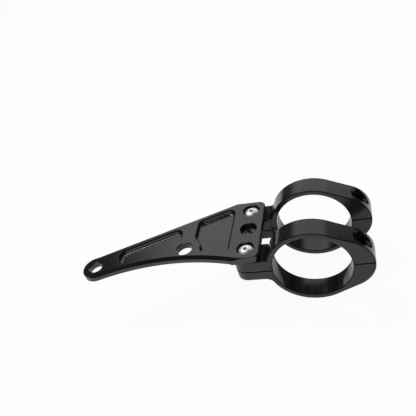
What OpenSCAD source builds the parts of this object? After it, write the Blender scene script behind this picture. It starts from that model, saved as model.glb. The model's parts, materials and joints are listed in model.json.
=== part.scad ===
// Headlight mounting bracket: two split fork clamps, a milled arm plate and four screws.
// The fork tube runs along Y through the origin, the arm reaches out along -X and its face looks up.

/* [Fork clamps] */
// Diameter of the fork tube that the clamps close on
fork_d = 50; // [44:0.5:54]
// Wall of the ring round the tube
ring_wall = 3.5; // [3:0.1:5]
// Width of one clamp along the tube
clamp_w = 14.5; // [13:0.5:17]
// Distance between the middles of the two clamps
clamp_spacing = 41; // [36:0.5:46]
// Gap between the upper and lower half of a clamp
split_gap = 1; // [0.6:0.1:1.6]
// Radius of the lug that holds the clamping screw
lug_r = 20.3; // [18:0.1:22]
// How far the lug reaches from the tube's axis
lug_reach = 38.4; // [36:0.1:40]
// Chamfer on the outer edges
edge_chamfer = 0.5; // [0.3:0.05:0.7]

/* [Tabs under the arm] */
// Height of a tab above the split plane
tab_up = 8.5; // [8:0.1:10]
// Depth of a tab below the split plane
tab_down = 7.5; // [6.5:0.1:8.5]
// Distance from the arm screws to the tabs' rounded ends
tab_margin = 9.3; // [8.5:0.1:10.5]
// How far a tab stands out past its ring, towards the other clamp
tab_ledge = 2; // [1:0.1:3]
// Room between that ledge and the ring's outer face
ledge_relief = 0.3; // [0.2:0.1:1]
// Fillet between a tab's underside and its ring
tab_fillet = 6; // [4:0.5:8]

/* [Clamping screws] */
// Distance of the clamping screws from the tube's axis
lug_screw_x = 32; // [31.5:0.1:32.5]
// Height of the seat under a clamping screw's head
lug_seat_z = 5; // [4:0.1:6]
// Diameter of a clamping screw's head
cap_head_d = 8.5; // [8:0.1:9]
// Height of a clamping screw's head
cap_head_h = 5; // [4:0.1:5.5]
// Width of the hexagon in a clamping screw's head
cap_hex = 4; // [3:0.1:5]
// Room round a clamping screw's head
cap_head_room = 1; // [0.5:0.05:1.2]

/* [Arm screws] */
// Distance of the arm screws from the plate's near edge
arm_screw_inset = 9.3; // [8.5:0.1:10.5]
// Distance between the two arm screws
arm_screw_spacing = 37.5; // [34:0.5:40]
// Diameter of an arm screw's domed head
button_head_d = 9.5; // [9:0.1:10]
// Height of an arm screw's domed head
button_head_h = 2.75; // [2.4:0.05:3]
// Width of the hexagon in an arm screw's head
button_hex = 3; // [2.5:0.1:3.5]
// Room round an arm screw's head
button_head_room = 0.75; // [0.3:0.05:1]
// Depth of the seats in the arm plate
seat_depth = 3; // [2.5:0.1:3.5]

/* [Screw shanks] */
// Diameter of the screws
screw_d = 5; // [4:0.1:5.5]
// Length of the screws below their heads
screw_length = 16; // [14:0.5:18]
// Room round a screw in a plain hole
clearance = 0.25; // [0.15:0.05:0.4]
// Room round a screw in a tapped hole
thread_play = 0.05; // [0.03:0.01:0.1]

/* [Arm plate] */
// Thickness of the plate
plate_t = 5; // [4.5:0.1:7]
// Gap between the rings and the plate's near edge
root_gap = 3.3; // [2.5:0.1:4.5]
// Distance from the arm screws to where the plate starts to taper
root_margin = 11.2; // [10:0.1:14]
// Radius of the two corners beside the rings
root_corner = 4.5; // [3:0.5:7]
// Distance from the tube's axis to the hole at the tip
tip_x = 147.8; // [135:1:165]
// Offset of the tip's hole towards the front
tip_y = 24.2; // [22:0.2:27]
// Radius of the rounded tip
tip_r = 9.5; // [8.5:0.1:10.5]
// How far the tip's eye stands out from the straight rear edge
tip_step = 0.4; // [0.2:0.05:0.8]
// Distance from the tube's axis to the crest of the hollow front edge
crest_x = 90; // [85:1:97]
// Offset of that crest towards the front
crest_y = 22.8; // [21.5:0.1:24]
// Width of the bevel along the hollow front edge
bevel_w = 2.3; // [1:0.1:3]
// Depth of the bevel along the hollow front edge
bevel_d = 1.7; // [1:0.1:3]

/* [Holes in the arm] */
// Diameter of the headlight hole at the tip
tip_hole_d = 9; // [6:0.1:10]
// Chamfer at the mouth of the headlight hole
tip_hole_chamfer = 0.8; // [0.3:0.1:1.2]
// Diameter of the indicator hole in the arm
side_hole_d = 10.8; // [8:0.1:12]
// Distance of the indicator hole from the tube's axis
side_hole_x = 84.1; // [80:0.1:88]
// Offset of the indicator hole towards the front
side_hole_y = 14; // [13:0.1:15]

/* [Pockets] */
// Depth of the pockets
pocket_depth = 3; // [1:0.1:3.5]
// Width of the rim left along the rear edge
rear_rim = 2.9; // [2:0.1:4]
// Width of the rim left along the front edge, from the bevel
front_rim = 2.6; // [1.5:0.1:4]
// Radius of the pockets' corners
pocket_corner = 5; // [4:0.1:6]
// Radius of the land round the indicator hole
land_r = 11.2; // [10:0.1:12]
// Width of the web between the pockets
web_w = 10.2; // [8:0.1:12]
// How far the web's middle lies from the indicator hole towards the tube
web_shift = 0.7; // [0:0.1:1.5]
// Distance from the arm screws to the near pocket
near_land = 11.3; // [10:0.1:14]
// Distance from the headlight hole to the far pocket
far_land = 15.8; // [14:0.1:20]

/* [Hidden] */
$fn = 96;

front = -1;
rear = 1;
ring_r = fork_d / 2 + ring_wall;
lug_x = lug_reach - lug_r;
lug_lean = asin((ring_r - lug_r) / lug_x);
flank_depth = ring_wall - 2 * edge_chamfer;
half_w = clamp_w / 2;
half_gap = split_gap / 2;
root_near = ring_r + root_gap;
arm_screw_x = root_near + arm_screw_inset;
root_far = arm_screw_x + root_margin;
tab_reach = arm_screw_x + tab_margin;
tab_half_w = (clamp_w + tab_ledge) / 2;
tab_end_x = tab_reach - tab_half_w;
fillet_z = tab_down + tab_fillet;
fillet_x = sqrt(pow(ring_r + tab_fillet, 2) - pow(fillet_z, 2));
fillet_turn = atan2(fillet_z, fillet_x);

plate_z = tab_up;
plate_top = plate_z + plate_t;
root_half = clamp_spacing / 2 + half_w;
seat_z = plate_top - seat_depth;
seat_d = button_head_d + 2 * button_head_room;
hole_d = screw_d + 2 * clearance;
shank_d = screw_d - 2 * thread_play;
cap_bore_d = cap_head_d + 2 * cap_head_room;
// How far a blind tapped hole reaches past the end of its screw
tap_room = 1.5;
tapped_depth = screw_length - lug_seat_z + tap_room;

web_x = side_hole_x - web_shift;
near_pocket_x = arm_screw_x + near_land;
far_pocket_x = tip_x - far_land;

// How far a straight or hollow edge dips inside the round that it runs into
bite = 0.05;
// How far a cutter reaches past the face that it starts from
over = 1;

// The rear edge runs from the root's corner past the tip's eye, tip_step inside its outline
rear_kink = [-root_far, root_half];
tip = [-tip_x, -tip_y];
tip_run = norm(tip - rear_kink);
rear_turn = atan2(rear_kink.y - tip.y, rear_kink.x - tip.x) - asin((tip_r - tip_step) / tip_run);
rear_dir = [cos(rear_turn), sin(rear_turn)];
rear_touch = tip + (tip_r - tip_step) * [-rear_dir.y, rear_dir.x];
eye_turn = acos((tip_r - tip_step) / tip_r);
eye_start = tip + tip_r * [-sin(rear_turn - eye_turn), cos(rear_turn - eye_turn)];

// The hollow front edge is one arc that runs into the tip's eye
crest_to_tip = [tip.x + crest_x, tip.y + crest_y];
hollow_r = (pow(norm(crest_to_tip), 2) - pow(tip_r, 2)) / (2 * (tip_r - crest_to_tip.y));
hollow = [-crest_x, -crest_y - hollow_r];
hollow_end = atan2(tip.y - hollow.y, tip.x - hollow.x);
hollow_start = asin((-root_half - hollow.y) / hollow_r);
hollow_touch = hollow + hollow_r * [cos(hollow_end), sin(hollow_end)];

// A square bar, standing on its edge, that takes a chamfer off what it runs along
module chamfer_profile(size) {
    rotate(45)
        square(size * sqrt(2), center = true);
}

module straight_cut(from, to, size) {
    run = to - from;
    translate(from)
        rotate([0, 0, atan2(run.y, run.x)])
            rotate([90, 0, 90])
                linear_extrude(height = norm(run))
                    chamfer_profile(size);
}

module round_cut(centre, radius, from, to, size) {
    translate(centre)
        rotate([0, 0, from])
            rotate_extrude(angle = to - from)
                translate([radius, 0])
                    chamfer_profile(size);
}

module mouth_cut(diameter, size) {
    translate([0, 0, -size])
        cylinder(d1 = diameter, d2 = diameter + 2 * (size + over), h = size + over);
}

module hexagon(across, height) {
    cylinder(d = across / cos(30), h = height, $fn = 6);
}

// A disc across a clamp, on the tube's axis, with both its rims chamfered
module clamp_disc(radius) {
    rotate([90, 0, 0])
        cylinder(r = radius, h = clamp_w - 2 * edge_chamfer, center = true);
    for (turn = [-90, 90]) {
        rotate([turn, 0, 0])
            translate([0, 0, half_w - edge_chamfer])
                cylinder(r1 = radius, r2 = radius - edge_chamfer, h = edge_chamfer);
    }
}

// A bar along X with its two lower edges chamfered, from its underside up to a given height
module clamp_bar(length, half, height) {
    rotate([90, 0, 90])
        linear_extrude(height = length)
            polygon([
                [edge_chamfer - half, 0], [half - edge_chamfer, 0], [half, edge_chamfer],
                [half, height], [-half, height], [-half, edge_chamfer]
            ]);
}

// The straight flanks that run from the ring to the lug, above and below, clear of the bore
module lug_flanks() {
    for (side = [0, 1]) {
        mirror([0, 0, side])
            rotate([0, -lug_lean, 0])
                translate([0, 0, bite - ring_r])
                    clamp_bar(lug_x * cos(lug_lean), half_w, flank_depth);
    }
}

// Rounds the corner between a tab's underside and its ring
module tab_fillet_web() {
    difference() {
        rotate([90, 0, 0])
            linear_extrude(height = clamp_w, center = true)
                polygon([
                    [-fillet_x, edge_chamfer - tab_down], [-fillet_x, -fillet_z],
                    -ring_r * [cos(fillet_turn), sin(fillet_turn)], [-fork_d / 2, 0]
                ]);
        translate([-fillet_x, 0, -fillet_z])
            rotate([90, 0, 0])
                cylinder(r = tab_fillet + bite, h = clamp_w + 2 * over, center = true);
        for (turn = [-90, 90]) {
            translate([-fillet_x, 0, -fillet_z])
                rotate([turn, 0, 0])
                    translate([0, 0, half_w])
                        mouth_cut(2 * (tab_fillet + bite), edge_chamfer);
        }
    }
}

// The tab is wider than the ring, and ends in a half round as seen from above
module tab(side) {
    height = tab_down + tab_up;
    translate([-tab_end_x, 0, -tab_down])
        clamp_bar(tab_end_x, half_w, height);
    difference() {
        translate([-tab_end_x, -side * tab_ledge / 2, -tab_down]) {
            clamp_bar(tab_end_x, tab_half_w, height);
            translate([0, 0, edge_chamfer])
                cylinder(r = tab_half_w, h = height - edge_chamfer);
            cylinder(r1 = tab_half_w - edge_chamfer, r2 = tab_half_w, h = edge_chamfer);
        }
        rotate([90, 0, 0])
            cylinder(r = ring_r + ledge_relief, h = clamp_w + 4 * tab_ledge, center = true);
    }
}

module clamp_solid(side) {
    difference() {
        union() {
            clamp_disc(ring_r);
            translate([lug_x, 0, 0])
                clamp_disc(lug_r);
            lug_flanks();
            tab(side);
            tab_fillet_web();
        }
        rotate([90, 0, 0])
            cylinder(d = fork_d, h = clamp_w + 2 * over, center = true);
        for (turn = [-90, 90]) {
            rotate([turn, 0, 0])
                translate([0, 0, half_w])
                    mouth_cut(fork_d, edge_chamfer);
        }
    }
}

// The half above (1) or below (-1) the split
module clamp_half(level, side) {
    reach = ring_r + over;
    wide = clamp_w + 4 * tab_ledge;
    difference() {
        clamp_solid(side);
        translate([-tab_reach - over, -wide / 2, level > 0 ? half_gap - reach : -half_gap])
            cube([tab_reach + lug_reach + 2 * over, wide, reach]);
    }
}

// The arm screws stand closer together than the clamps' middles
function arm_screw_y(side) = side * (arm_screw_spacing - clamp_spacing) / 2;

module clamp_top(side) {
    color("#2b2b2f")
        translate([0, side * clamp_spacing / 2, 0])
            difference() {
                clamp_half(1, side);
                translate([lug_screw_x, 0, 0])
                    cylinder(d = hole_d, h = lug_seat_z + over);
                translate([lug_screw_x, 0, lug_seat_z])
                    cylinder(d = cap_bore_d, h = lug_r);
                translate([-arm_screw_x, arm_screw_y(side), 0])
                    cylinder(d = hole_d, h = tab_up + over);
            }
}

module clamp_bottom(side) {
    color("#2b2b2f")
        translate([0, side * clamp_spacing / 2, 0])
            difference() {
                clamp_half(-1, side);
                translate([lug_screw_x, 0, -tapped_depth])
                    cylinder(d = screw_d, h = tapped_depth);
                translate([-arm_screw_x, arm_screw_y(side), -tab_down - over])
                    cylinder(d = screw_d, h = tab_down + over);
                translate([-arm_screw_x, arm_screw_y(side), -tab_down])
                    mirror([0, 0, 1])
                        mouth_cut(screw_d, edge_chamfer);
            }
}

// The arm plate's outline as seen from above
module plate_outline() {
    root_x = -root_near - root_corner;
    difference() {
        union() {
            polygon([
                [root_x, root_half], rear_kink, rear_touch, tip,
                hollow_touch, [root_x, -root_half]
            ]);
            translate([root_x - over, root_corner - root_half])
                square([root_corner + over, 2 * (root_half - root_corner)]);
            for (side = [front, rear]) {
                translate([root_x, side * (root_half - root_corner)])
                    circle(r = root_corner);
            }
            translate(tip)
                circle(r = tip_r);
        }
        translate(hollow)
            circle(r = hollow_r + bite);
    }
}

// The chamfers round the plate's upper or lower face, which lies at height 0 here
module plate_edge_cuts() {
    root_x = -root_near - root_corner;
    for (side = [front, rear]) {
        round_cut([root_x, side * (root_half - root_corner), 0], root_corner,
            side > 0 ? 0 : -90, side > 0 ? 90 : 0, edge_chamfer);
    }
    straight_cut([-root_near, root_corner - root_half, 0],
        [-root_near, root_half - root_corner, 0], edge_chamfer);
    straight_cut([rear_kink.x, rear_kink.y, 0], [root_x, root_half, 0], edge_chamfer);
    straight_cut([eye_start.x, eye_start.y, 0], [rear_kink.x, rear_kink.y, 0], edge_chamfer);
    straight_cut([hollow.x + hollow_r * cos(hollow_start), -root_half, 0],
        [root_x, -root_half, 0], edge_chamfer);
    round_cut([tip.x, tip.y, 0], tip_r, rear_turn - eye_turn + 90, hollow_end + 180, edge_chamfer);
    round_cut([hollow.x, hollow.y, 0], hollow_r, hollow_start, hollow_end, edge_chamfer);
}

// The wide bevel that follows the hollow front edge and runs out at both its ends
module hollow_bevel() {
    run = [bevel_w, bevel_d] / norm([bevel_w, bevel_d]);
    low = [hollow_r, -bevel_d] - over * run;
    high = [hollow_r + bevel_w, 0] + over * run;
    spread = 4;
    translate([hollow.x, hollow.y, plate_top])
        rotate([0, 0, hollow_start - spread])
            rotate_extrude(angle = hollow_end - hollow_start + 2 * spread)
                polygon([low, high, [low.x, high.y]]);
}

// The rear edge of the pockets, inside the rear rim
function rear_rim_y(x) = rear_kink.y - rear_rim / rear_dir.x + (x - rear_kink.x) * tan(rear_turn);

// A pocket keeps clear of the rims and of the land round the indicator hole
module pocket_outline(near_x, far_x) {
    offset(r = pocket_corner)
        offset(r = -pocket_corner)
            difference() {
                polygon([
                    [near_x, hollow.y], [near_x, rear_rim_y(near_x)],
                    [far_x, rear_rim_y(far_x)], [far_x, hollow.y]
                ]);
                translate(hollow)
                    circle(r = hollow_r + bevel_w + front_rim, $fn = 240);
                translate([-side_hole_x, -side_hole_y])
                    circle(r = land_r);
            }
}

module plate_seat() {
    translate([0, 0, plate_z - over])
        cylinder(d = hole_d, h = plate_t + 2 * over);
    translate([0, 0, seat_z])
        cylinder(d = seat_d, h = seat_depth + over);
    translate([0, 0, plate_top])
        mouth_cut(seat_d, edge_chamfer);
}

module plate_hole(diameter, size) {
    translate([0, 0, plate_z - over])
        cylinder(d = diameter, h = plate_t + 2 * over);
    translate([0, 0, plate_top])
        mouth_cut(diameter, size);
    translate([0, 0, plate_z])
        mirror([0, 0, 1])
            mouth_cut(diameter, size);
}

module arm_plate() {
    color("#4a494c")
        difference() {
            translate([0, 0, plate_z])
                linear_extrude(height = plate_t)
                    plate_outline();
            for (height = [plate_z, plate_top]) {
                translate([0, 0, height])
                    plate_edge_cuts();
            }
            hollow_bevel();
            for (ends = [[near_pocket_x, web_x - web_w / 2], [web_x + web_w / 2, far_pocket_x]]) {
                translate([0, 0, plate_top - pocket_depth])
                    linear_extrude(height = pocket_depth + over)
                        pocket_outline(-ends[0], -ends[1]);
            }
            for (place = [-1, 0, 1]) {
                translate([-arm_screw_x, place * arm_screw_spacing / 2, 0])
                    plate_seat();
            }
            translate([tip.x, tip.y, 0])
                plate_hole(tip_hole_d, tip_hole_chamfer);
            translate([-side_hole_x, -side_hole_y, 0])
                plate_hole(side_hole_d, edge_chamfer);
        }
}

// A screw's shank hangs below its head, whose underside lies at height 0
module shank() {
    tip_chamfer = screw_d / 10;
    translate([0, 0, tip_chamfer - screw_length])
        cylinder(d = shank_d, h = screw_length - tip_chamfer);
    translate([0, 0, -screw_length])
        cylinder(d1 = shank_d - 2 * tip_chamfer, d2 = shank_d, h = tip_chamfer);
}

module button_screw() {
    rim_h = button_head_h / 7;
    flat_r = button_head_d / 5;
    head_r = button_head_d / 2;
    dome_z = (pow(button_head_h, 2) + pow(flat_r, 2) - pow(rim_h, 2) - pow(head_r, 2))
        / (2 * (button_head_h - rim_h));
    dome_r = norm([head_r, rim_h - dome_z]);
    socket_depth = button_head_h * 0.6;
    color("#c9c9cb")
        union() {
            difference() {
                intersection() {
                    cylinder(r = head_r, h = button_head_h);
                    translate([0, 0, dome_z])
                        sphere(r = dome_r);
                }
                translate([0, 0, button_head_h - socket_depth])
                    hexagon(button_hex, socket_depth + over);
            }
            shank();
        }
}

module cap_screw() {
    rim_chamfer = cap_head_d / 20;
    socket_depth = cap_head_h / 2;
    color("#1c1c1f")
        union() {
            difference() {
                union() {
                    cylinder(d = cap_head_d, h = cap_head_h - rim_chamfer);
                    translate([0, 0, cap_head_h - rim_chamfer])
                        cylinder(d1 = cap_head_d, d2 = cap_head_d - 2 * rim_chamfer, h = rim_chamfer);
                }
                translate([0, 0, cap_head_h - socket_depth])
                    hexagon(cap_hex, socket_depth + over);
            }
            shank();
        }
}

module arm_screw(side) {
    translate([-arm_screw_x, side * arm_screw_spacing / 2, seat_z])
        button_screw();
}

module clamp_screw(side) {
    translate([lug_screw_x, side * clamp_spacing / 2, lug_seat_z])
        cap_screw();
}

arm_plate();
clamp_top(front);  // clamp_top_front
clamp_bottom(front);  // clamp_bottom_front
clamp_top(rear);  // clamp_top_rear
clamp_bottom(rear);  // clamp_bottom_rear
arm_screw(front);  // arm_screw_front
arm_screw(rear);  // arm_screw_rear
clamp_screw(front);  // clamp_screw_front
clamp_screw(rear);  // clamp_screw_rear
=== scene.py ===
"""Headlight bracket: black anodised finishes, turned screws with threads, stage and camera."""

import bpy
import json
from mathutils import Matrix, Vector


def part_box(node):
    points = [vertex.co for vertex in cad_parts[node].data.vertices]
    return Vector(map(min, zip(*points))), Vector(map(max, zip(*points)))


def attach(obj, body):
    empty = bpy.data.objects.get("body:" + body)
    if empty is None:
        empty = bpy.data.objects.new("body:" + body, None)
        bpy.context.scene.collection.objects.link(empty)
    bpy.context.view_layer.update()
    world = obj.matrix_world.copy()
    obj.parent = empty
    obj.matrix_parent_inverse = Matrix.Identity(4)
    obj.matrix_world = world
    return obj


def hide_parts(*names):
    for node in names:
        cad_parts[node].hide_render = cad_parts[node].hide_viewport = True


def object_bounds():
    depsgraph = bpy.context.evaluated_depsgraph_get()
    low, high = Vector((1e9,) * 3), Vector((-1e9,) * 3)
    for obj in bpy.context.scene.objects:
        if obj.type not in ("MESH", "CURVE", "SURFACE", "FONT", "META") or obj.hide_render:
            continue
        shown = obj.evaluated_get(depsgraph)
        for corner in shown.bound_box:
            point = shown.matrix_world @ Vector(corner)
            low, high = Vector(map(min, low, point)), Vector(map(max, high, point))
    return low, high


bl_info = {
    "name": "Headlight Bracket",
    "version": (1, 0, 0),
    "blender": (4, 5, 0),
    "location": "View3D > Sidebar > Bracket",
    "description": "Dresses a motorbike headlight bracket in anodised aluminium and steel screws",
    "category": "Object",
}

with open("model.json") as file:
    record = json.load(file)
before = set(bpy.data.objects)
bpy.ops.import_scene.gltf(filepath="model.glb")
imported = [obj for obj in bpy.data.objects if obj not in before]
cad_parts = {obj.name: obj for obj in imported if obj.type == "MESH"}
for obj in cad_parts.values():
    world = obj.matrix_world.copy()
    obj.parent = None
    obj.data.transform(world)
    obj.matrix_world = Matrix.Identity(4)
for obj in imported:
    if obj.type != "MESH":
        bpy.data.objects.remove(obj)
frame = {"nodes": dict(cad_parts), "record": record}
cad_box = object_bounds()

import json
import math

import bmesh
import bpy
from mathutils import Matrix, Vector

BODY = "root"
SIDES = ("front", "rear")

# Distances in metres: between vertices that are one, between equal heights, and a thin layer
WELD = 1e-7
HAIR = 1e-6
SKIN = 0.0005

# Angles: faces that bend less are one flat face, and an edge that bends more is shaded sharp
FLAT = math.radians(0.5)
SHARP = math.radians(22)

# Parts of a unit normal: along its axis, across it, at 45 degrees, and between the two
LEVEL = 0.99
UPRIGHT = 0.01
DIAGONAL = math.sqrt(0.5)
DIAGONAL_SLACK = 0.02
SLANTED = (0.3, 0.95)

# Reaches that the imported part's boxes don't give: of the fillet between a tab and its ring, just
# past a screw's seat or the indicator hole, and of the plain land round the hole at the tip
TAB_FILLET = 0.004
SEAT_R = 0.006
TIP_REACH = 0.012

# Materials of a dressed piece, in the order of its slots
MARKED = 0
# The chamfers' material, which also stands as painted shade in the screw seats, the tip hole and on the
# tab tops
CHAMFER_AND_SHADE = 1
ROUNDED = 2

# Tints of the gloss on black anodised aluminium
PLATE_SHEEN = (1, 0.97, 1)
CLAMP_SHEEN = (0.9, 0.89, 1)

# Noises: the values that most of a noise lies between, and scales in patterns to the metre
NOISE_MIDDLE = (0.3, 0.7)
CLOUD_SCALE = 45
CUT_GRAIN = 2500
STEEL_GRAIN = 1800
STEEL_DEPTH = 0.00001

# Facets across the round at a pocket's floor
ROUND_STEPS = 8

# Lamps, from the middle of the bracket's box
LAMP_PLACE = Vector((-0.28, 0.32, 0.63))
LAMP_SIZE = 0.22
FILL_PLACE = Vector((-0.3, -0.7, 0.4))
FILL_SIZE = 0.6
FILL_SHARE = 0.25


class BracketFinish(bpy.types.PropertyGroup):
    """Colours and surface marks of the anodised aluminium and the steel"""

    clamp_colour: bpy.props.FloatVectorProperty(
        name="Clamp Colour", description="Anodised colour of the split clamps",
        default=(0.010, 0.010, 0.012), subtype="COLOR", min=0, max=1)
    plate_colour: bpy.props.FloatVectorProperty(
        name="Plate Colour", description="Anodised colour of the arm plate",
        default=(0.009, 0.0085, 0.009), subtype="COLOR", min=0, max=1)
    # Colour of the chamfers, and of the painted shade in the screw seats, the tip hole and on the tab
    # tops
    chamfer_and_shade_colour: bpy.props.FloatVectorProperty(
        name="Chamfer Colour", description="Colour of the bright-cut chamfers and bevels",
        default=(0.009, 0.009, 0.010), subtype="COLOR", min=0, max=1)
    bright_colour: bpy.props.FloatVectorProperty(
        name="Bright Steel", description="Colour of the stainless arm screws",
        default=(0.92, 0.90, 0.87), subtype="COLOR", min=0, max=1)
    black_colour: bpy.props.FloatVectorProperty(
        name="Black Steel", description="Colour of the black clamping screws",
        default=(0.030, 0.030, 0.033), subtype="COLOR", min=0, max=1)
    mark_width: bpy.props.FloatProperty(
        name="Tool Mark Width", description="Distance between the fine marks of the cutter",
        default=0.0009, min=0.0001, max=0.005, precision=5, subtype="DISTANCE", unit="LENGTH")
    mark_depth: bpy.props.FloatProperty(
        name="Tool Mark Depth", description="Depth of the fine marks of the cutter",
        default=0.000003, min=0, max=0.0002, precision=6, subtype="DISTANCE", unit="LENGTH")
    mark_stretch: bpy.props.FloatProperty(
        name="Tool Mark Stretch", description="How many times longer than wide a mark is",
        default=24, min=1, max=100)
    mouth_cut: bpy.props.FloatProperty(
        name="Mouth Cut", description="Width of the fine chamfer round the plate's pockets",
        default=0.00035, min=0.0001, max=0.0006, precision=5, subtype="DISTANCE", unit="LENGTH")
    floor_round: bpy.props.FloatProperty(
        name="Floor Round", description="Radius that the cutter left round the pockets' floors",
        default=0.0022, min=0.0005, max=0.0025, precision=5, subtype="DISTANCE", unit="LENGTH")
    tab_round: bpy.props.FloatProperty(
        name="Tab Round", description="Radius of the corner between a tab's top and its ring",
        default=0.004, min=0.001, max=0.005, precision=5, subtype="DISTANCE", unit="LENGTH")


class BracketScrews(bpy.types.PropertyGroup):
    """Details that the screws have beyond their plain forms"""

    pitch: bpy.props.FloatProperty(
        name="Pitch", description="Distance from one turn of the thread to the next",
        default=0.0008, min=0.0002, max=0.002, precision=5, subtype="DISTANCE", unit="LENGTH")
    thread_depth: bpy.props.FloatProperty(
        name="Thread Depth", description="Depth of the thread below the shank's surface",
        default=0.0004, min=0.0001, max=0.001, precision=5, subtype="DISTANCE", unit="LENGTH")
    plain_length: bpy.props.FloatProperty(
        name="Plain Length", description="Length of the plain neck under a head",
        default=0.001, min=0, max=0.01, precision=5, subtype="DISTANCE", unit="LENGTH")
    arm_socket: bpy.props.FloatProperty(
        name="Arm Screw Socket", description="Width of the hexagon in an arm screw's head",
        default=0.003, min=0.002, max=0.005, precision=5, subtype="DISTANCE", unit="LENGTH")
    clamp_socket: bpy.props.FloatProperty(
        name="Clamp Screw Socket", description="Width of the hexagon in a clamping screw's head",
        default=0.004, min=0.002, max=0.006, precision=5, subtype="DISTANCE", unit="LENGTH")
    segments: bpy.props.IntProperty(
        name="Segments", description="Faces round a screw", default=72, min=24, max=144, step=12)


class BracketStage(bpy.types.PropertyGroup):
    """Camera, lamps and floor"""

    azimuth: bpy.props.FloatProperty(
        name="Azimuth", description="Turn of the camera round the bracket, from the front",
        default=math.radians(22.18), subtype="ANGLE", unit="ROTATION")
    elevation: bpy.props.FloatProperty(
        name="Elevation", description="Height of the camera above the horizon",
        default=math.radians(36.09), subtype="ANGLE", unit="ROTATION")
    roll: bpy.props.FloatProperty(
        name="Roll", description="Turn of the camera about its own line of sight",
        default=math.radians(-20.14), subtype="ANGLE", unit="ROTATION")
    distance: bpy.props.FloatProperty(
        name="Distance", description="Distance from the camera to its aim",
        default=0.35997, min=0.05, subtype="DISTANCE", unit="LENGTH")
    aim: bpy.props.FloatVectorProperty(
        name="Aim", description="Point that the camera looks at",
        default=(-0.0636, 0.0009, 0.0341), subtype="TRANSLATION", unit="LENGTH")
    lens: bpy.props.FloatProperty(
        name="Lens", description="Focal length of the camera in millimetres", default=47.17, min=10)
    ambient: bpy.props.FloatProperty(
        name="Ambient", description="Strength of the light from all round", default=0.55, min=0)
    wall_height: bpy.props.FloatProperty(
        name="Wall Height", description="Height above the horizon at which the white walls end",
        default=math.radians(52), subtype="ANGLE", unit="ROTATION")
    wall_half: bpy.props.FloatProperty(
        name="Wall Half Width", description="Turn from the middle of a white wall to its end",
        default=math.radians(31), subtype="ANGLE", unit="ROTATION")
    wall_softness: bpy.props.FloatProperty(
        name="Wall Softness", description="Turn over which a white wall fades out",
        default=math.radians(12), subtype="ANGLE", unit="ROTATION")
    side_light: bpy.props.FloatProperty(
        name="Side Light", description="Brightness of the studio's sides in reflections",
        default=0.06, min=0, max=1, subtype="FACTOR")
    ceiling_light: bpy.props.FloatProperty(
        name="Ceiling Light", description="Brightness of the studio's ceiling in reflections",
        default=0.08, min=0, max=1, subtype="FACTOR")
    lamp_power: bpy.props.FloatProperty(
        name="Lamp Power", description="Power of the main soft lamp",
        default=1.6, min=0, subtype="POWER", unit="POWER")
    floor_size: bpy.props.FloatProperty(
        name="Floor Size", description="Side of the square floor",
        default=4, min=1, subtype="DISTANCE", unit="LENGTH")
    shadow_share: bpy.props.FloatProperty(
        name="Shadow Share", description="Share of the floor's white that a shadow can take away",
        default=0.06, min=0, max=1, subtype="FACTOR")
    mirrored_share: bpy.props.FloatProperty(
        name="Mirrored Shadow Share", description="The same share for the floor as seen in reflections",
        default=0.5, min=0, max=1, subtype="FACTOR")


def finish():
    """The settings of the colours and surface marks."""
    return bpy.context.scene.bracket_finish


def screws():
    """The settings of the screws."""
    return bpy.context.scene.bracket_screws


def stage():
    """The settings of the camera, lamps and floor."""
    return bpy.context.scene.bracket_stage


def add_piece(name, mesh):
    """An object at the origin for a finished mesh."""
    piece = bpy.data.objects.new(name, mesh)
    bpy.context.scene.collection.objects.link(piece)
    return piece


def new_material(name):
    """A material, its node tree and its Principled shader."""
    material = bpy.data.materials.new(name)
    material.use_nodes = True
    tree = material.node_tree
    return material, tree, tree.nodes["Principled BSDF"]


def feed(tree, value, target):
    """Links a socket to an input, or writes a number in it."""
    if isinstance(value, bpy.types.NodeSocket):
        tree.links.new(value, target)
    else:
        target.default_value = value


def math_node(tree, operation, a, b):
    """The result of one sum on two values, each a socket or a number."""
    node = tree.nodes.new("ShaderNodeMath")
    node.operation = operation
    feed(tree, a, node.inputs[0])
    feed(tree, b, node.inputs[1])
    return node.outputs[0]


def mapped(tree, value, start, end, low, high, curve="LINEAR"):
    """Carries a value from low to high as its input goes from start to end."""
    node = tree.nodes.new("ShaderNodeMapRange")
    node.interpolation_type = curve
    node.inputs["From Min"].default_value = start
    node.inputs["From Max"].default_value = end
    node.inputs["To Min"].default_value = low
    node.inputs["To Max"].default_value = high
    tree.links.new(value, node.inputs["Value"])
    return node.outputs["Result"]


def mixed(tree, share, first, second):
    """A blend of two shaders, with a share of the second."""
    node = tree.nodes.new("ShaderNodeMixShader")
    tree.links.new(share, node.inputs["Fac"])
    tree.links.new(first.outputs[0], node.inputs[1])
    tree.links.new(second.outputs[0], node.inputs[2])
    return node


def noise(tree, scale, stretch=(1, 1, 1), detail=3.0):
    """A noise pattern on Object coordinates, stretched along the axes."""
    place = tree.nodes.new("ShaderNodeTexCoord")
    mapping = tree.nodes.new("ShaderNodeMapping")
    mapping.inputs["Scale"].default_value = stretch
    pattern = tree.nodes.new("ShaderNodeTexNoise")
    pattern.inputs["Scale"].default_value = scale
    pattern.inputs["Detail"].default_value = detail
    tree.links.new(place.outputs["Object"], mapping.inputs["Vector"])
    tree.links.new(mapping.outputs["Vector"], pattern.inputs["Vector"])
    return pattern.outputs["Fac"]


def ranged(tree, value, low, high):
    """Maps the middle of a noise to a range of values."""
    return mapped(tree, value, *NOISE_MIDDLE, low, high)


def tinted(tree, value, colour, low, high):
    """A colour whose brightness goes from low to high with a value."""
    node = tree.nodes.new("ShaderNodeMix")
    node.data_type = "RGBA"
    node.inputs["A"].default_value = (*(c * low for c in colour), 1)
    node.inputs["B"].default_value = (*(c * high for c in colour), 1)
    tree.links.new(value, node.inputs["Factor"])
    return node.outputs["Result"]


def bumped(tree, value, distance, shader):
    """Raises the surface by a pattern."""
    node = tree.nodes.new("ShaderNodeBump")
    node.inputs["Distance"].default_value = distance
    tree.links.new(value, node.inputs["Height"])
    tree.links.new(node.outputs["Normal"], shader.inputs["Normal"])


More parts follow.
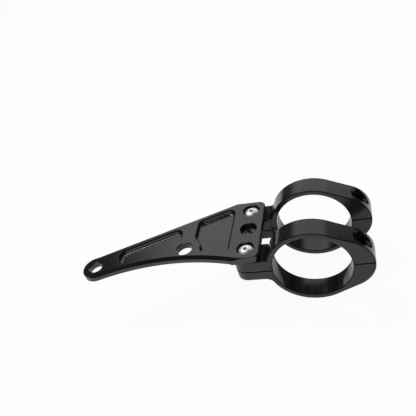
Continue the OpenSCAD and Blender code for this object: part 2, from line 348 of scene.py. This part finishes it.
def clouded(tree, colour):
    """A colour with the slow, faint changes of an anodised surface."""
    cloud = noise(tree, CLOUD_SCALE, detail=2)
    return tinted(tree, ranged(tree, cloud, 0, 1), colour, 0.9, 1.1)


def anodised_material(name, colour, sheen, axis, roughness, gloss):
    """Black anodised aluminium, with marks that run along the cutter's axis."""
    material, tree, shader = new_material(name)
    settings = finish()
    stretch = [1, 1, 1]
    stretch[axis] = 1 / settings.mark_stretch
    marks = noise(tree, 1 / settings.mark_width, stretch, detail=5)
    colours = clouded(tree, colour)
    fine = tree.nodes.new("ShaderNodeMix")
    fine.data_type = "RGBA"
    fine.blend_type = "MULTIPLY"
    fine.inputs["Factor"].default_value = 1
    shades = tinted(tree, ranged(tree, marks, 0, 1), (1, 1, 1), 0.85, 1.15)
    tree.links.new(colours, fine.inputs["A"])
    tree.links.new(shades, fine.inputs["B"])
    tree.links.new(fine.outputs["Result"], shader.inputs["Base Color"])
    dull = ranged(tree, marks, roughness - 0.04, roughness + 0.05)
    tree.links.new(dull, shader.inputs["Roughness"])
    shader.inputs["IOR"].default_value = gloss
    shader.inputs["Specular Tint"].default_value = (*sheen, 1)
    bumped(tree, marks, settings.mark_depth, shader)
    return material


def smooth_material(name, colour, sheen, roughness, gloss):
    """Black anodised aluminium where a round cutter left no marks."""
    material, tree, shader = new_material(name)
    tree.links.new(clouded(tree, colour), shader.inputs["Base Color"])
    shader.inputs["Roughness"].default_value = roughness
    shader.inputs["IOR"].default_value = gloss
    shader.inputs["Specular Tint"].default_value = (*sheen, 1)
    return material


def chamfer_and_shade_material(name, gloss):
    """The smoother cut of chamfers and bevels, which mirrors the dim studio round it and is given less
    gloss than the faces so that it shows as a black line: partly real, partly painted shade. The same
    material is put as painted shade in the screw seats, on the tip hole's wall, on the clamp tabs' tops
    and on their rounded strips.
    """
    material, tree, shader = new_material(name)
    grain = noise(tree, CUT_GRAIN, detail=2)
    colours = tinted(tree, grain, finish().chamfer_and_shade_colour, 0.8, 1.2)
    tree.links.new(colours, shader.inputs["Base Color"])
    tree.links.new(ranged(tree, grain, 0.1, 0.14), shader.inputs["Roughness"])
    shader.inputs["Specular IOR Level"].default_value = gloss
    return material


def steel_material(name, colour, roughness):
    """Turned steel with a fine grain."""
    material, tree, shader = new_material(name)
    grain = noise(tree, STEEL_GRAIN, detail=4)
    colours = tinted(tree, ranged(tree, grain, 0, 1), colour, 0.82, 1.1)
    dull = ranged(tree, grain, roughness - 0.05, roughness + 0.08)
    tree.links.new(colours, shader.inputs["Base Color"])
    tree.links.new(dull, shader.inputs["Roughness"])
    shader.inputs["Metallic"].default_value = 1
    bumped(tree, grain, STEEL_DEPTH, shader)
    return material


def welded_shape(node):
    """A closed copy of a CAD node's loose triangles, with its flat faces made whole."""
    shape = bmesh.new()
    shape.from_mesh(frame["nodes"][node].data)
    bmesh.ops.remove_doubles(shape, verts=shape.verts, dist=WELD)
    bmesh.ops.dissolve_limit(shape, angle_limit=FLAT, verts=shape.verts, edges=shape.edges)
    return shape


def plain_mesh(shape, name):
    """A mesh of a shape, without the normals and texture places that came with its node."""
    mesh = bpy.data.meshes.new(name)
    shape.to_mesh(mesh)
    shape.free()
    mesh.attributes.remove(mesh.attributes["custom_normal"])
    while mesh.uv_layers:
        mesh.uv_layers.remove(mesh.uv_layers[0])
    return mesh


def dress_node(node, materials, choose, trim=None):
    """Replaces a CAD node by its welded copy; a face's place and normal choose its material."""
    shape = welded_shape(node)
    for face in shape.faces:
        face.material_index = choose(face.calc_center_median(), face.normal)
    if trim:
        trim(shape)
    for face in shape.faces:
        face.smooth = True
    mesh = plain_mesh(shape, node + "_shell")
    for material in materials:
        mesh.materials.append(material)
    mesh.set_sharp_from_angle(angle=SHARP)
    piece = add_piece(node + "_shell", mesh)
    weighted = piece.modifiers.new("Even shading", "WEIGHTED_NORMAL")
    weighted.keep_sharp = True
    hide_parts(node)
    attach(piece, BODY)


def slanted(value):
    """Whether one part of a normal is that of a chamfer, and not of a face or a wall."""
    return SLANTED[0] < abs(value) < SLANTED[1]


def pocket_edges(shape, limit, hollow):
    """The edges beyond a limit along X where a level face meets an upright wall."""
    found = []
    for edge in shape.edges:
        if len(edge.link_faces) < 2 or max(vert.co.x for vert in edge.verts) > limit:
            continue
        level, wall = sorted(edge.link_faces, key=lambda face: -face.normal.z)
        square = level.normal.z > LEVEL and abs(wall.normal.z) < UPRIGHT
        if square and edge.is_convex != hollow:
            found.append(edge)
    return found


def trim_pockets(shape):
    """Chamfers the mouths of the plate's pockets and rounds the corners at their floors."""
    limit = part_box("arm_screw_front")[0].x - SEAT_R
    settings = finish()
    mouths = (False, settings.mouth_cut, 1, CHAMFER_AND_SHADE)
    floors = (True, settings.floor_round, ROUND_STEPS, ROUNDED)
    for hollow, width, steps, material in (mouths, floors):
        bmesh.ops.bevel(shape, geom=pocket_edges(shape, limit, hollow), offset=width,
            offset_type="OFFSET", segments=steps, profile=0.5, affect="EDGES", clamp_overlap=False,
            material=material)


class BRACKET_OT_arm_plate(bpy.types.Operator):
    """Dress the milled arm plate"""

    bl_idname = "bracket.arm_plate"
    bl_label = "Arm Plate"

    def execute(self, context):
        colour = finish().plate_colour
        gloss = 1.67
        materials = (
            anodised_material("anodised_plate", colour, PLATE_SHEEN, axis=2, roughness=0.11, gloss=gloss),
            chamfer_and_shade_material("anodised_plate_chamfer_and_shade", gloss=0.5),
            smooth_material("anodised_plate_round", colour, PLATE_SHEEN, roughness=0.2, gloss=gloss),
        )
        low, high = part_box("arm_plate")
        screw_low, screw_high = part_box("arm_screw_front")
        seat = (screw_low + screw_high) / 2
        mounts = {mount["name"]: mount for mount in frame["record"]["mounts"]}
        hole = Vector(mounts["indicator_hole"]["pos_m"])

        def choose(centre, normal):
            # The seats lie in one row along Y, with as many on either side of the middle one
            in_seat = abs(centre.x - seat.x) < SEAT_R and abs(centre.y) < SEAT_R - seat.y
            in_hole = math.hypot(centre.x - hole.x, centre.y - hole.y) < SEAT_R
            by_tip = centre.x - low.x < TIP_REACH and centre.z > low.z + SKIN
            # Inside the screw seats and on the tip hole's upright wall the chamfers' less glossy material
            # is put as painted shade; elsewhere it marks the real chamfers, except by the tip
            if in_seat:
                dark = low.z + SKIN < centre.z < high.z - SKIN
            elif in_hole:
                dark = abs(normal.z) < UPRIGHT
            else:
                dark = slanted(normal.z) and not by_tip
            return CHAMFER_AND_SHADE if dark else MARKED

        dress_node("arm_plate", materials, choose, trim_pockets)
        return {"FINISHED"}


def round_tab(shape, side):
    """Fills the corner between a tab's top and its ring with a rounded strip, in the chamfers' less
    glossy material as painted shade.
    """
    ring_r = -cad_box[0].z
    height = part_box("arm_plate")[0].z
    reach = finish().tab_round
    low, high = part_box("clamp_screw_" + side)
    middle = (low.y + high.y) / 2
    low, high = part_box("clamp_top_" + side)
    half = min(middle - low.y, high.y - middle) - SKIN
    centre_x = -math.sqrt((ring_r + reach) ** 2 - (height + reach) ** 2)
    end = math.atan2(height + reach, -centre_x)
    steps = 10
    arc = []
    for k in range(steps + 1):
        turn = -math.pi / 2 + (math.pi / 2 - end) * k / steps
        arc.append((centre_x + reach * math.cos(turn), height + reach + reach * math.sin(turn)))
    inside = (SKIN - math.sqrt(ring_r ** 2 - height ** 2), height - SKIN)
    outline = arc + [inside]
    rows = [[shape.verts.new((x, middle + half * way, z)) for x, z in outline] for way in (-1, 1)]
    faces = [shape.faces.new(rows[0]), shape.faces.new(rows[1])]
    count = len(rows[0])
    for k in range(count):
        after = (k + 1) % count
        faces.append(shape.faces.new((rows[0][k], rows[0][after], rows[1][after], rows[1][k])))
    bmesh.ops.recalc_face_normals(shape, faces=faces)
    # The strip takes the chamfers' material as painted shade
    for face in faces:
        face.material_index = CHAMFER_AND_SHADE


class BRACKET_OT_clamps(bpy.types.Operator):
    """Dress the four halves of the two split clamps"""

    bl_idname = "bracket.clamps"
    bl_label = "Split Clamps"

    def execute(self, context):
        colour = finish().clamp_colour
        materials = (
            anodised_material("anodised_clamp", colour, CLAMP_SHEEN, axis=1, roughness=0.13, gloss=1.55),
            chamfer_and_shade_material("anodised_clamp_chamfer_and_shade", gloss=0.1),
        )
        tab_start = cad_box[0].z - TAB_FILLET

        def choose(centre, normal):
            in_tab = centre.x < tab_start
            across = normal.z if in_tab else normal.y
            chamfered = abs(abs(across) - DIAGONAL) < DIAGONAL_SLACK
            # A tab's level top takes the chamfers' material as painted shade, beside the real chamfers
            shaded_tab_top = in_tab and normal.z > LEVEL
            return CHAMFER_AND_SHADE if chamfered or shaded_tab_top else MARKED

        for side in SIDES:
            dress_node(f"clamp_bottom_{side}", materials, choose)
            dress_node(f"clamp_top_{side}", materials, choose,
                lambda shape: round_tab(shape, side))
        return {"FINISHED"}


def hexagon_radius(across, turn):
    """Distance from a hexagon's middle to its edge, with a corner at turn 0."""
    sixth = math.pi / 3
    return across / 2 / math.cos((turn % sixth) - sixth / 2)


def turned_mesh(name, rings):
    """A solid of revolution from (radius, height) rings; a radius may be a function of the turn."""
    count = screws().segments
    shape = bmesh.new()
    rows = []
    for radius, height in rings:
        row = []
        for k in range(count):
            turn = 2 * math.pi * k / count
            r = radius(turn) if callable(radius) else radius
            row.append(shape.verts.new((r * math.cos(turn), r * math.sin(turn), height)))
        rows.append(row)
    for lower, upper in zip(rows, rows[1:]):
        for k in range(count):
            after = (k + 1) % count
            shape.faces.new((lower[k], lower[after], upper[after], upper[k]))
    shape.faces.new(rows[0])
    shape.faces.new(rows[-1])
    bmesh.ops.recalc_face_normals(shape, faces=shape.faces)
    mesh = bpy.data.meshes.new(name)
    shape.to_mesh(mesh)
    shape.free()
    for polygon in mesh.polygons:
        polygon.use_smooth = True
    mesh.set_sharp_from_angle(angle=SHARP)
    return mesh


def shank_rings(shank_r, length):
    """The plain neck and the threaded core below a head, from the tip upwards."""
    depth = screws().thread_depth
    core = shank_r - depth
    neck = -screws().plain_length
    return [
        (core - depth, -length), (core, -length + depth), (core, neck - depth), (shank_r, neck),
        (shank_r, 0),
    ]


def socket_rings(across, top, depth):
    """A hexagon socket, from its mouth down to its drilled floor."""
    corner = across / math.sqrt(3)
    lead_in = corner * 0.06
    drill_r = across * 0.1
    drill_depth = across * 0.2
    wall = lambda turn: hexagon_radius(across, turn)
    return [
        (corner + lead_in, top), (wall, top - lead_in), (wall, top - depth),
        (drill_r, top - depth - drill_depth),
    ]


def button_head_rings(radius, height, across):
    """A domed head, from its underside over the dome and into its socket."""
    rim = height * 0.6
    flat = radius * 0.45
    middle = (height ** 2 + flat ** 2 - rim ** 2 - radius ** 2) / (2 * (height - rim))
    dome = math.hypot(radius, rim - middle)
    start = math.atan2(rim - middle, radius)
    end = math.atan2(height - middle, flat)
    steps = 14
    rings = [(radius * 0.97, 0), (radius, rim * 0.4)]
    for k in range(steps + 1):
        turn = start + (end - start) * k / steps
        rings.append((dome * math.cos(turn), middle + dome * math.sin(turn)))
    return rings + socket_rings(across, height, height * 0.6)


def cap_head_rings(radius, height, across):
    """A cylinder head with a knurled side, from its underside up and into its socket."""
    edge = radius * 0.1
    groove = radius * 0.035
    step = 2 * math.pi / screws().segments
    knurl = lambda turn: radius - groove * (round(turn / step) % 2)
    side = [(radius * 0.96, 0), (knurl, edge), (knurl, height - 1.6 * edge)]
    shoulder = [(radius * 0.95, height - edge), (radius * 0.9, height)]
    return side + shoulder + socket_rings(across, height, height * 0.5)


def screw_tree():
    """Geometry Nodes that put a threaded screw at every point."""
    tree = bpy.data.node_groups.new("bracket_screw", "GeometryNodeTree")
    face = tree.interface
    face.new_socket("Geometry", in_out="INPUT", socket_type="NodeSocketGeometry")
    face.new_socket("Blank", in_out="INPUT", socket_type="NodeSocketObject")
    for name in ("Pitch", "Thread Radius", "Thread Depth", "Thread Length", "Thread Start"):
        face.new_socket(name, in_out="INPUT", socket_type="NodeSocketFloat")
    face.new_socket("Material", in_out="INPUT", socket_type="NodeSocketMaterial")
    face.new_socket("Geometry", in_out="OUTPUT", socket_type="NodeSocketGeometry")

    def add(kind, **inputs):
        node = tree.nodes.new(kind)
        for socket, value in inputs.items():
            feed(tree, value, node.inputs[socket.replace("_", " ")])
        return node

    given = tree.nodes.new("NodeGroupInput").outputs
    blank = add("GeometryNodeObjectInfo", Object=given["Blank"])
    turns = math_node(tree, "DIVIDE", given["Thread Length"], given["Pitch"])
    path = add("GeometryNodeCurveSpiral", Resolution=36, Rotations=turns,
        Start_Radius=given["Thread Radius"], End_Radius=given["Thread Radius"],
        Height=given["Thread Length"])
    upright = add("GeometryNodeSetCurveNormal", Curve=path.outputs["Curve"])
    upright.mode = "Z_UP"
    section = add("GeometryNodeCurvePrimitiveCircle", Resolution=3, Radius=given["Thread Depth"])
    ridge = add("GeometryNodeCurveToMesh", Curve=upright.outputs["Curve"],
        Profile_Curve=section.outputs["Curve"], Fill_Caps=True)
    lift = tree.nodes.new("ShaderNodeCombineXYZ")
    tree.links.new(given["Thread Start"], lift.inputs["Z"])
    placed = add("GeometryNodeTransform", Geometry=ridge.outputs["Mesh"],
        Translation=lift.outputs["Vector"])
    whole = tree.nodes.new("GeometryNodeJoinGeometry")
    tree.links.new(placed.outputs["Geometry"], whole.inputs["Geometry"])
    tree.links.new(blank.outputs["Geometry"], whole.inputs["Geometry"])
    copies = add("GeometryNodeInstanceOnPoints", Points=given["Geometry"],
        Instance=whole.outputs["Geometry"])
    solid = add("GeometryNodeRealizeInstances", Geometry=copies.outputs["Instances"])
    painted = add("GeometryNodeSetMaterial", Geometry=solid.outputs["Geometry"],
        Material=given["Material"])
    out = tree.nodes.new("NodeGroupOutput")
    tree.links.new(painted.outputs["Geometry"], out.inputs["Geometry"])
    return tree


def repeat_screw(name, places, blank, material, thread):
    """One mesh with a threaded screw at each place, made by the screw tree."""
    points = bpy.data.meshes.new(name + "_points")
    points.from_pydata(places, [], [])
    holder = add_piece(name + "_points", points)
    modifier = holder.modifiers.new("Screws", "NODES")
    modifier.node_group = bpy.data.node_groups.get("bracket_screw") or screw_tree()
    values = {"Blank": blank, "Material": material, **thread}
    for item in modifier.node_group.interface.items_tree:
        if item.in_out == "INPUT" and item.name in values:
            modifier[item.identifier] = values[item.name]
    context = bpy.context
    context.view_layer.update()
    made = holder.evaluated_get(context.evaluated_depsgraph_get())
    mesh = bpy.data.meshes.new_from_object(made)
    mesh.name = name
    holder.modifiers.remove(modifier)
    bpy.data.objects.remove(holder)
    bpy.data.objects.remove(blank)
    return add_piece(name, mesh)


def screw_set(kind, head_rings, across, material):
    """Replaces the two screws of a kind by threaded ones, sized from their boxes."""
    nodes = [f"{kind}_{side}" for side in SIDES]
    boxes = [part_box(node) for node in nodes]
    low, high = boxes[0]
    seat = seat_height(nodes[0])
    radius = (high.x - low.x) / 2
    length = seat - low.z
    shank_r = shank_radius(nodes[0])
    rings = shank_rings(shank_r, length) + head_rings(radius, high.z - seat, across)
    blank = add_piece(kind + "_blank", turned_mesh(kind + "_blank", rings))
    depth = screws().thread_depth
    thread_length = length - screws().plain_length - 3 * depth
    thread = {
        "Pitch": screws().pitch, "Thread Radius": shank_r - depth, "Thread Depth": depth,
        "Thread Length": thread_length, "Thread Start": -length + 1.5 * depth,
    }
    places = [((lo.x + hi.x) / 2, (lo.y + hi.y) / 2, seat) for lo, hi in boxes]
    piece = repeat_screw(kind + "s", places, blank, material, thread)
    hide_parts(*nodes)
    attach(piece, BODY)


def reaches(node):
    """Distance from a screw's axis and height of each of its vertices."""
    low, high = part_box(node)
    middle = (low + high) / 2
    places = [vertex.co for vertex in frame["nodes"][node].data.vertices]
    return [(math.hypot(place.x - middle.x, place.y - middle.y), place.z) for place in places]


def seat_height(node):
    """Height of the underside of a screw's head: the lowest of its widest vertices."""
    low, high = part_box(node)
    head_r = (high.x - low.x) / 2
    return min(height for reach, height in reaches(node) if reach > 0.98 * head_r)


def shank_radius(node):
    """Radius of a screw's shank: the reach of its vertices below its head."""
    seat = seat_height(node)
    return max(reach for reach, height in reaches(node) if height < seat - HAIR)


class BRACKET_OT_arm_screws(bpy.types.Operator):
    """Make the two bright domed screws that hold the arm plate"""

    bl_idname = "bracket.arm_screws"
    bl_label = "Arm Screws"

    def execute(self, context):
        material = steel_material("bright_screw", finish().bright_colour, roughness=0.38)
        screw_set("arm_screw", button_head_rings, screws().arm_socket, material)
        return {"FINISHED"}


class BRACKET_OT_clamp_screws(bpy.types.Operator):
    """Make the two black cylinder-head screws that close the clamps"""

    bl_idname = "bracket.clamp_screws"
    bl_label = "Clamping Screws"

    def execute(self, context):
        material = steel_material("black_screw", finish().black_colour, roughness=0.5)
        screw_set("clamp_screw", cap_head_rings, screws().clamp_socket, material)
        return {"FINISHED"}


def seen_directly(tree):
    """1 for rays that show the background itself: from the camera, or by way of gloss or glass."""
    path = tree.nodes.new("ShaderNodeLightPath")
    total = path.outputs["Is Camera Ray"]
    for name in ("Is Glossy Ray", "Is Transmission Ray"):
        total = math_node(tree, "MAXIMUM", total, path.outputs[name])
    return total


def vector_node(tree, operation, value):
    """A vector node of one operation on a socket."""
    node = tree.nodes.new("ShaderNodeVectorMath")
    node.operation = operation
    tree.links.new(value, node.inputs[0])
    return node


def split_vector(tree, value):
    """The three parts of a vector."""
    node = tree.nodes.new("ShaderNodeSeparateXYZ")
    tree.links.new(value, node.inputs["Vector"])
    return node.outputs


def wall_light(tree):
    """Brightness of the studio in reflections: white walls front and rear, dim sides and ceiling."""
    settings = stage()
    direction = tree.nodes.new("ShaderNodeTexCoord").outputs["Generated"]
    level = vector_node(tree, "MULTIPLY", direction)
    level.inputs[1].default_value = (1, 1, 0)
    heading = vector_node(tree, "NORMALIZE", level.outputs["Vector"])
    across = vector_node(tree, "ABSOLUTE", heading.outputs["Vector"])
    facing = split_vector(tree, across.outputs["Vector"])["Y"]
    rise = split_vector(tree, direction)["Z"]
    edge = settings.wall_softness / 2
    walls = mapped(tree, facing, math.cos(settings.wall_half + edge),
        math.cos(settings.wall_half - edge), settings.side_light, 1, "SMOOTHSTEP")
    top = mapped(tree, rise, math.sin(settings.wall_height - edge),
        math.sin(settings.wall_height + edge), 1, settings.ceiling_light, "SMOOTHSTEP")
    return math_node(tree, "MULTIPLY", walls, top)


def white_world():
    """A plain soft light, which the camera sees as white, and gloss as a studio with white walls."""
    world = bpy.data.worlds.new("studio")
    world.use_nodes = True
    tree = world.node_tree
    tree.nodes.clear()
    light = tree.nodes.new("ShaderNodeBackground")
    light.inputs["Color"].default_value = (1, 1, 1, 1)
    light.inputs["Strength"].default_value = stage().ambient
    walls = tree.nodes.new("ShaderNodeBackground")
    walls.inputs["Color"].default_value = (1, 1, 1, 1)
    path = tree.nodes.new("ShaderNodeLightPath")
    strength = math_node(tree, "MAXIMUM", path.outputs["Is Camera Ray"], wall_light(tree))
    tree.links.new(strength, walls.inputs["Strength"])
    mix = mixed(tree, seen_directly(tree), light, walls)
    out = tree.nodes.new("ShaderNodeOutputWorld")
    tree.links.new(mix.outputs[0], out.inputs["Surface"])
    bpy.context.scene.world = world


def white_floor():
    """A pale floor under the rings that keeps only a faint shadow."""
    half = stage().floor_size / 2
    height = cad_box[0].z
    mesh = bpy.data.meshes.new("floor")
    corners = [(half * x, half * y, height) for x, y in ((-1, -1), (1, -1), (1, 1), (-1, 1))]
    mesh.from_pydata(corners, [], [(0, 1, 2, 3)])
    floor = add_piece("floor", mesh)
    material, tree, _ = new_material("floor_white")
    tree.nodes.clear()
    glow = tree.nodes.new("ShaderNodeEmission")
    paper = tree.nodes.new("ShaderNodeBsdfDiffuse")
    paper.inputs["Color"].default_value = (0.9, 0.9, 0.9, 1)
    path = tree.nodes.new("ShaderNodeLightPath")
    share = mapped(tree, path.outputs["Is Camera Ray"], 0, 1, stage().mirrored_share,
        stage().shadow_share)
    blend = mixed(tree, share, glow, paper)
    mix = mixed(tree, seen_directly(tree), paper, blend)
    out = tree.nodes.new("ShaderNodeOutputMaterial")
    tree.links.new(mix.outputs[0], out.inputs["Surface"])
    mesh.materials.append(material)


def aim_at(place, target):
    """The turn that points a lamp from a place at a target."""
    return (target - place).to_track_quat("-Z", "Y").to_matrix().to_4x4()


def soft_lamp(name, place, size, power):
    """A square soft lamp at a place from the bracket's middle, which it looks at."""
    lamp = bpy.data.lights.new(name, "AREA")
    lamp.energy = power
    lamp.size = size
    holder = bpy.data.objects.new(name, lamp)
    middle = (cad_box[0] + cad_box[1]) / 2
    holder.matrix_world = Matrix.Translation(middle + place) @ aim_at(middle + place, middle)
    bpy.context.scene.collection.objects.link(holder)


def place_camera():
    """The photograph's camera: turned round the bracket, raised, and rolled about its line of sight."""
    settings = stage()
    turn, rise, roll = settings.azimuth, settings.elevation, settings.roll
    back = Vector((math.sin(turn) * math.cos(rise), -math.cos(turn) * math.cos(rise), math.sin(rise)))
    level = (-back).cross(Vector((0, 0, 1))).normalized()
    upright = back.cross(level)
    right = level * math.cos(roll) + upright * math.sin(roll)
    up = upright * math.cos(roll) - level * math.sin(roll)
    data = bpy.data.cameras.new("camera")
    data.lens = settings.lens
    camera = bpy.data.objects.new("camera", data)
    place = Vector(settings.aim) + back * settings.distance
    camera.matrix_world = Matrix.Translation(place) @ Matrix((right, up, back)).transposed().to_4x4()
    bpy.context.scene.collection.objects.link(camera)
    bpy.context.scene.camera = camera


class BRACKET_OT_stage(bpy.types.Operator):
    """Set up the floor, the soft light and the camera"""

    bl_idname = "bracket.stage"
    bl_label = "Stage"

    def execute(self, context):
        white_world()
        white_floor()
        soft_lamp("overhead", LAMP_PLACE, LAMP_SIZE, stage().lamp_power)
        soft_lamp("fill", FILL_PLACE, FILL_SIZE, FILL_SHARE * stage().lamp_power)
        place_camera()
        context.scene.view_settings.view_transform = "Standard"
        return {"FINISHED"}


class BRACKET_PT_sidebar(bpy.types.Panel):
    """Lists the pieces and their settings"""

    bl_idname = "BRACKET_PT_sidebar"
    bl_label = "Headlight Bracket"
    bl_space_type = "VIEW_3D"
    bl_region_type = "UI"
    bl_category = "Bracket"

    def draw(self, context):
        for group in (finish(), screws(), stage()):
            column = self.layout.column(align=True)
            for name in group.__annotations__:
                column.prop(group, name)
        for operator in OPERATORS:
            self.layout.operator(operator.bl_idname)


GROUPS = {"bracket_finish": BracketFinish, "bracket_screws": BracketScrews, "bracket_stage": BracketStage}
OPERATORS = (
    BRACKET_OT_arm_plate, BRACKET_OT_clamps, BRACKET_OT_arm_screws, BRACKET_OT_clamp_screws,
    BRACKET_OT_stage,
)


def register():
    """Registers the settings, the operators and the panel."""
    for name, group in GROUPS.items():
        bpy.utils.register_class(group)
        setattr(bpy.types.Scene, name, bpy.props.PointerProperty(type=group))
    for operator in OPERATORS:
        bpy.utils.register_class(operator)
    bpy.utils.register_class(BRACKET_PT_sidebar)


def unregister():
    """Takes everything that register added away again."""
    bpy.utils.unregister_class(BRACKET_PT_sidebar)
    for operator in reversed(OPERATORS):
        bpy.utils.unregister_class(operator)
    for name, group in reversed(GROUPS.items()):
        delattr(bpy.types.Scene, name)
        bpy.utils.unregister_class(group)


def main():
    """Makes every piece and the stage."""
    register()
    bpy.ops.bracket.arm_plate()
    bpy.ops.bracket.clamps()
    bpy.ops.bracket.arm_screws()
    bpy.ops.bracket.clamp_screws()
    bpy.ops.bracket.stage()


if __name__ == "__main__":
    main()
